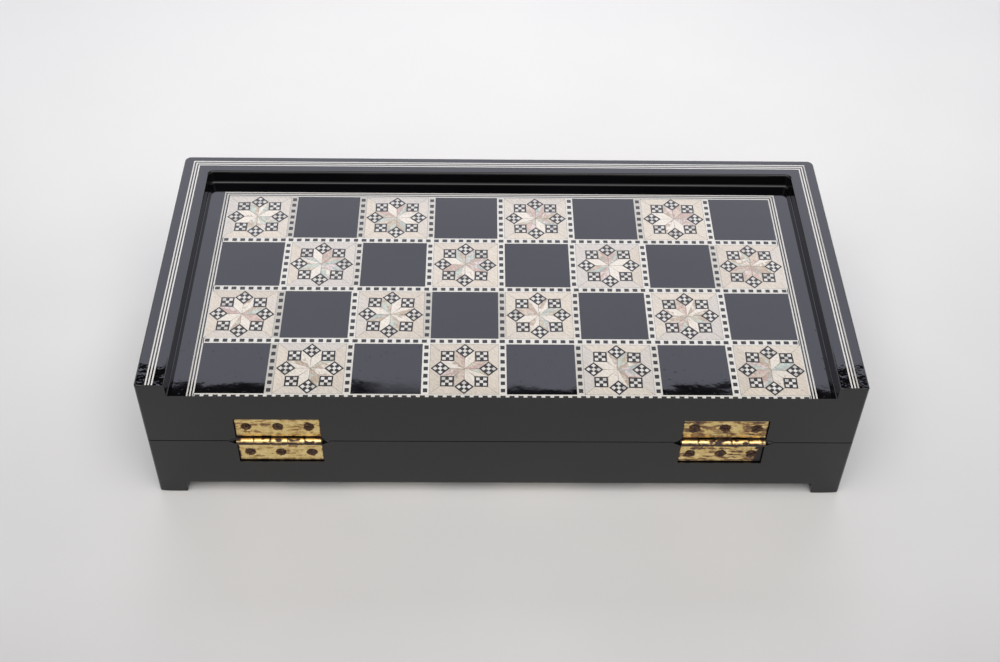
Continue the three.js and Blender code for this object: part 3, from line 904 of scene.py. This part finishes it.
# in a half's own frame the base is turned over, so its left is the lid's right
for which, up, firstKnuckle in (("lid", 1, 0), ("base", -1, 1)):
    for side in (-1, 1):
        word = "left" if side * up < 0 else "right"
        seed = 4.7 * up + side * 1.9
        leaf = word + "_hinge_" + which
        buildLeaf(leaf + "_leaf", which, side, firstKnuckle, seed, leafLook["load"][word])
        for i in (1, 2, 3):
            giveMaterials(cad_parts[leaf + "_screw_" + str(i)], screwSteel)
for word in ("left", "right"):
    giveMaterials(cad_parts[word + "_hinge_pin"], brass)
print("hinges fitted")


# swing hooks on the back wall

latch = {
    "edge": 0.25, "sides": 36,
    "screw": [(0, -8), (1.5, -7), (1.5, 1.9), (3.3, 1.9), (3.4, 2.15), (3.25, 2.6), (2.7, 3.1), (1.7, 3.45),
              (0, 3.6)],
    "stud": [(0, -6), (1.2, -6), (1.2, 0.05), (2.55, 0.05), (2.6, 0.3), (1.3, 0.45), (1.15, 1.0),
             (1.2, 1.85), (2.0, 1.95), (2.1, 2.3), (1.9, 3.0), (1.2, 3.5), (0, 3.6)],
}


def headOf(node, name, profile, body):
    # a round-headed fitting standing where the CAD has it; profile is [radius, distance off the wall]
    low, high = boxOf(node)
    x, z = (low[0] + high[0]) / 2, (low[2] + high[2]) / 2
    wall = half["backY"] + axisY
    matrix = Matrix.Translation((x * mm, wall * mm, z * mm)) @ Matrix.Rotation(-math.pi / 2, 4, "X")
    piece = turned(name, profile, matrix, latch["sides"])
    giveMaterials(piece, fittingBrass)
    finishPiece(piece, body, [node])


for word in ("left", "right"):
    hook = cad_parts[word + "_latch_hook"]
    giveMaterials(hook, fittingBrass)
    edge = hook.modifiers.new("filed_edges", "BEVEL")
    edge.width = latch["edge"] * mm
    edge.segments = 2
    edge.limit_method = "ANGLE"
    headOf(word + "_latch_pivot_screw", word + "_pivot_head", latch["screw"], "lid")
    headOf(word + "_latch_stud", word + "_stud_head", latch["stud"], "base")
print("latches fitted")


# the inside: twelve points in each half, veneered and edged with ivory-coloured stringing

field = {
    "points": 6, "length": 148.0, "foot": 11.6, "line": 0.8, "lineShort": 9, "core": 4.2, "coreLine": 0.5,
    "coreLineShort": 30, "coreShort": 34, "lozenges": 4, "lozengeFrom": 14, "lozengeStep": 19,
    "lozenge": 2.3, "lozengeLess": 0.4, "lozengeLong": 2.2, "border": 2.2,
    "borderLines": ((0.35, 1.25), (1.6, 2.2)), "medallion": 1.55, "small": 0.85, "smallAway": 60.0,
    "seeds": (37, 41),
}


def addPoint(sheet, wallX, side, y, dark):
    # one point runs from the end wall to a tip; it has an ivory edge,
    # a core of the other wood and a row of shell lozenges
    f = field
    foot = wallX - side * f["border"]
    tip = wallX - side * f["length"]
    woods = ("dark", "pale") if dark else ("pale", "dark")
    layers = (
        ("ivory", f["foot"], 0, 0.02),
        (woods[0], f["foot"] - f["line"], f["lineShort"], 0.03),
        ("ivory", f["core"] + f["coreLine"], f["coreLineShort"], 0.04),
        (woods[1], f["core"], f["coreShort"], 0.05),
    )
    for kind, wide, short, lift in layers:
        sheet.add(kind, [(foot, y - wide), (tip + side * short, y), (foot, y + wide)], lift)
    for k in range(f["lozenges"]):
        x = foot - side * (f["lozengeFrom"] + f["lozengeStep"] * k)
        size = f["lozenge"] - f["lozengeLess"] * k
        long = f["lozengeLong"] * size
        sheet.add("pearl", [(x - long, y), (x, y - size), (x + long, y), (x, y + size)], 0.06)


def buildField(which):
    f = field
    sheet = Sheet(f["seeds"][which == "base"])
    y0, y1 = half["hingeInnerY"], half["backInnerY"]
    x1 = half["innerX"]
    sheet.bar("ground", -x1, y0, x1, y1, 0.0, 0.5)
    pitch = (y1 - y0) / f["points"]
    for side in (-1, 1):
        for i in range(f["points"]):
            addPoint(sheet, side * x1, side, y0 + (i + 0.5) * pitch, (i + (side > 0)) % 2 == 1)
    for low, high in f["borderLines"]:
        sheet.bar("ivory", -x1 + low, y0 + low, -x1 + high, y1 - low, 0.07)
        sheet.bar("ivory", x1 - high, y0 + low, x1 - low, y1 - low, 0.07)
        sheet.bar("ivory", -x1 + high, y0 + low, x1 - high, y0 + high, 0.07)
        sheet.bar("ivory", -x1 + high, y1 - high, x1 - high, y1 - low, 0.07)
    middle = (y0 + y1) / 2
    addStar(sheet, 0, middle, f["medallion"], 0.06)
    for side in (-1, 1):
        addStar(sheet, 0, middle + side * f["smallAway"], f["small"], 0.06)
    finishes = {
        "ground": walnut, "ivory": ivory, "ebony": ebony, "pearl": pearl, "star": abalone, "glue": glue,
        "pale": maple, "dark": rosewood,
    }
    sheet.make(which + "_points_inlay", half["tray"], -1, halfMatrix[which], which, finishes,
               [which + "_points_veneer"])


for which in ("lid", "base"):
    buildField(which)
print("points laid inside both halves")


# playing pieces resting in the base

# a rounded edge, a flat rim and a dished middle with one raised ring; each pair is how far in from the edge
# and how far in from the flat side
checker = {
    "count": 5, "sides": 48,
    "foot": [(4, 0.35), (3, 0.02), (1.4, 0.02), (0.5, 0.45), (0, 1.3)],
    "top": [(0, 1.3), (0.5, 0.45), (1.4, 0.02), (3, 0.02), (3.7, 0.5), (4.6, 0.8), (6.6, 0.8), (7.1, 0.45),
            (7.8, 0.35), (8.5, 0.55), (8.9, 0.8)],
}


def buildStack(node, timber):
    c = checker
    low, high = boxOf(node)
    x, y = (low[0] + high[0]) / 2, (low[1] + high[1]) / 2
    tall = (high[2] - low[2]) / c["count"]
    r = (high[0] - low[0]) / 2
    profile = [(0, c["foot"][0][1])] + [(r - inset, z) for inset, z in c["foot"]]
    profile += [(r - inset, tall - sunk) for inset, sunk in c["top"]] + [(0, tall - c["top"][-1][1])]
    picks = random.Random(node)
    for i in range(c["count"]):
        turn = Matrix.Rotation(picks.uniform(0, 6.28), 4, "Z")
        place = Matrix.Translation((x * mm, y * mm, (low[2] + i * tall) * mm))
        piece = turned(node.replace("_stack", "") + "_" + str(i + 1), profile, place @ turn, c["sides"])
        shades = [picks.random()] * len(piece.data.polygons)
        piece.data.attributes.new("shade", "FLOAT", "FACE").data.foreach_set("value", shades)
        giveMaterials(piece, timber)
        finishPiece(piece, "base", [node])


die = {"side": 14.0, "round": 1.7, "pip": 1.45, "sunk": 0.55, "spread": 3.6, "softAngle": 30}


def buildDie(node, turn):
    d = die
    low, high = boxOf(node)
    centre = [(a + b) / 2 for a, b in zip(low, high)]
    e = d["side"] / 2
    bm = bmesh.new()
    prism(bm, [(-e, -e), (e, -e), (e, e), (-e, e)], -e, e)
    roundEdges(bm, list(bm.edges), d["round"], 5)
    cube = newObject(node + "_bone", meshOf(node, bm, Matrix.Scale(1 / mm, 4)))
    a = d["spread"]
    corners = [(-a, -a), (a, -a), (-a, a), (a, a)]
    faces = {
        1: [(0, 0)], 2: [(-a, -a), (a, a)], 3: [(-a, -a), (0, 0), (a, a)], 4: corners, 5: corners + [(0, 0)],
        6: [(-a, -a), (-a, 0), (-a, a), (a, -a), (a, 0), (a, a)],
    }
    away = e + d["pip"] - d["sunk"]
    sides = {1: (0, 0, 1), 6: (0, 0, -1), 2: (0, 1, 0), 5: (0, -1, 0), 3: (1, 0, 0), 4: (-1, 0, 0)}
    spots = []
    for count, normal in sides.items():
        out = Vector(normal)
        # the two directions that lie in this face
        flat = [Vector(axis) for axis in ((1, 0, 0), (0, 1, 0), (0, 0, 1)) if not out.dot(axis)]
        for u, v in faces[count]:
            spots.append(out * away + flat[0] * u + flat[1] * v)
    cutters = []
    for spot in spots:
        bm = bmesh.new()
        bmesh.ops.create_icosphere(bm, subdivisions=2, radius=d["pip"])
        mesh = bpy.data.meshes.new("pip")
        bm.to_mesh(mesh)
        bm.free()
        mesh.transform(Matrix.Translation(spot))
        cutters.append(newObject("pip", mesh))
    carve(cube, cutters)
    giveMaterials(cube, bone, ebony)
    for face in cube.data.polygons:
        nearest = min((face.center - spot).length for spot in spots)
        face.material_index = 1 if nearest < d["pip"] + 0.02 else 0
    cube.data.transform(Matrix.Translation([c * mm for c in centre]) @ Matrix.Rotation(turn, 4, "Z") @
                        Matrix.Scale(mm, 4))
    smoothByAngle(cube.data, d["softAngle"])
    finishPiece(cube, "base", [node])


for i in (1, 2, 3):
    buildStack("pale_checker_stack_" + str(i), boxwood)
    buildStack("dark_checker_stack_" + str(i), rosewood)
for node, turn in (("die_1", 0.35), ("die_2", -0.5)):
    buildDie(node, turn)
print("checkers and dice in place")


# floor, light and camera

# the along and across ramps are painted shade on the paper: a painted light falloff and the case's painted
# shadow
floorLook = {
    "size": 9.0, "near": -0.3, "far": 0.45, "nearSpread": 1.3, "farSpread": 0.52,
    "mottle": 9, "mottleTones": [(0.3, "#fafafb"), (0.7, "#fdfdfd")],
    "along": [(0.0, "#d8d7d6"), (0.2, "#eeeeed"), (0.45, "#f8f8f6"), (0.75, "#fffffc")],
    "across": [(0.0, 1.0), (0.15, 0.968), (0.25, 0.925), (0.35, 0.86), (0.5, 0.84)],
    "plain": "#eeeeed", "plainFrom": 0.36, "plainTo": 0.7,
}


def paperSweep():
    # matt seamless paper, faintly mottled, with painted shade: whitest behind the case, greyer towards the
    # near edge and the sides as a painted falloff of the light and a painted shadow in front of the case,
    # and one even tone further away; the floor's sizes are in metres
    look = floorLook
    material, tree, place = startMaterial("matt_paper_sweep", {"Roughness": 0.85, "Specular IOR Level": 0.2})
    mottle = rampOf(tree, cloudOf(tree, place, scale=look["mottle"], detail=4), look["mottleTones"])
    apart = addNode(tree, "ShaderNodeSeparateXYZ", {}, {"Vector": place}).outputs
    reach = rangeOf(tree, apart["Y"], look["near"], look["far"])
    lean = rangeOf(tree, apart["Y"], look["near"], look["far"], look["nearSpread"], look["farSpread"])
    spread = mathOf(tree, "MULTIPLY", mathOf(tree, "ABSOLUTE", apart["X"]), lean)
    # painted shade: darker towards the near edge and towards the sides
    along = rampOf(tree, reach, look["along"], smooth=True)
    paintedShade = multiplied(tree, along, rampOf(tree, spread, look["across"], smooth=True))
    away = addNode(tree, "ShaderNodeVectorMath", {"operation": "LENGTH"}, {0: place}).outputs["Value"]
    even = rangeOf(tree, away, look["plainFrom"], look["plainTo"], kind="SMOOTHSTEP")
    plain = {"data_type": "RGBA", 7: linear(look["plain"])}
    evened = addNode(tree, "ShaderNodeMix", plain, {0: even, 6: paintedShade}).outputs[2]
    wire(tree, {"Base Color": multiplied(tree, mottle, evened)})
    return material


def buildStage():
    bm = bmesh.new()
    e = floorLook["size"] / 2
    bm.faces.new([bm.verts.new(p) for p in ((-e, -e, 0), (e, -e, 0), (e, e, 0), (-e, e, 0))])
    mesh = bpy.data.meshes.new("floor")
    bm.to_mesh(mesh)
    bm.free()
    floor = newObject("floor", mesh)
    giveMaterials(floor, paperSweep())


# the back one is what the polished board mirrors: its upper edge ends just short of the hinge side
softboxes = {
    "back_softbox": {"place": (0, 2.1, 1.545), "aim": (0, 0, 0), "size": (3.6, 1.4), "power": 33,
                     "colour": "#ebedff"},
    "overhead_softbox": {"place": (0, -0.9, 2.4), "aim": (0, 0.1, 0), "size": (3.0, 2.2), "power": 53,
                         "colour": "#fffcf9"},
}


# pale walls and a dark ceiling: the ceiling is what the front squares mirror as a black edge
room = {
    "strength": 0.8, "tones": [(0.0, "#f4f4f6"), (0.5, "#e6e5e6"), (0.68, "#2a2622"), (1.0, "#1d1a18")],
}


def buildLight():
    world = bpy.data.worlds.new("studio")
    bpy.context.scene.world = world
    world.use_nodes = True
    tree = world.node_tree
    back = tree.nodes["Background"]
    back.inputs["Strength"].default_value = room["strength"]
    place = addNode(tree, "ShaderNodeTexCoord").outputs["Generated"]
    height = addNode(tree, "ShaderNodeSeparateXYZ", {}, {"Vector": place}).outputs["Z"]
    tree.links.new(rampOf(tree, height, room["tones"]), back.inputs["Color"])
    for name, light in softboxes.items():
        data = bpy.data.lights.new(name, "AREA")
        data.shape = "RECTANGLE"
        data.size, data.size_y = light["size"]
        data.energy = light["power"]
        data.color = linear(light["colour"])[:3]
        lamp = newObject(name, data)
        lamp.location = light["place"]
        away = Vector(light["aim"]) - Vector(light["place"])
        lamp.rotation_euler = away.to_track_quat("-Z", "Y").to_euler()


view = {
    "lens": 50.21, "sensor": 36, "nearest": 0.01,
    "place": (-0.01595, -0.6276, 0.6938), "turn": (43.702, -0.926, -0.481),
}


def buildCamera():
    data = bpy.data.cameras.new("camera")
    data.sensor_width = view["sensor"]
    data.lens = view["lens"]
    data.clip_start = view["nearest"]
    camera = newObject("camera", data)
    camera.location = view["place"]
    camera.rotation_euler = [math.radians(angle) for angle in view["turn"]]
    bpy.context.scene.camera = camera


buildStage()
buildLight()
buildCamera()
bpy.context.scene.view_settings.view_transform = "Standard"
print("stage ready")
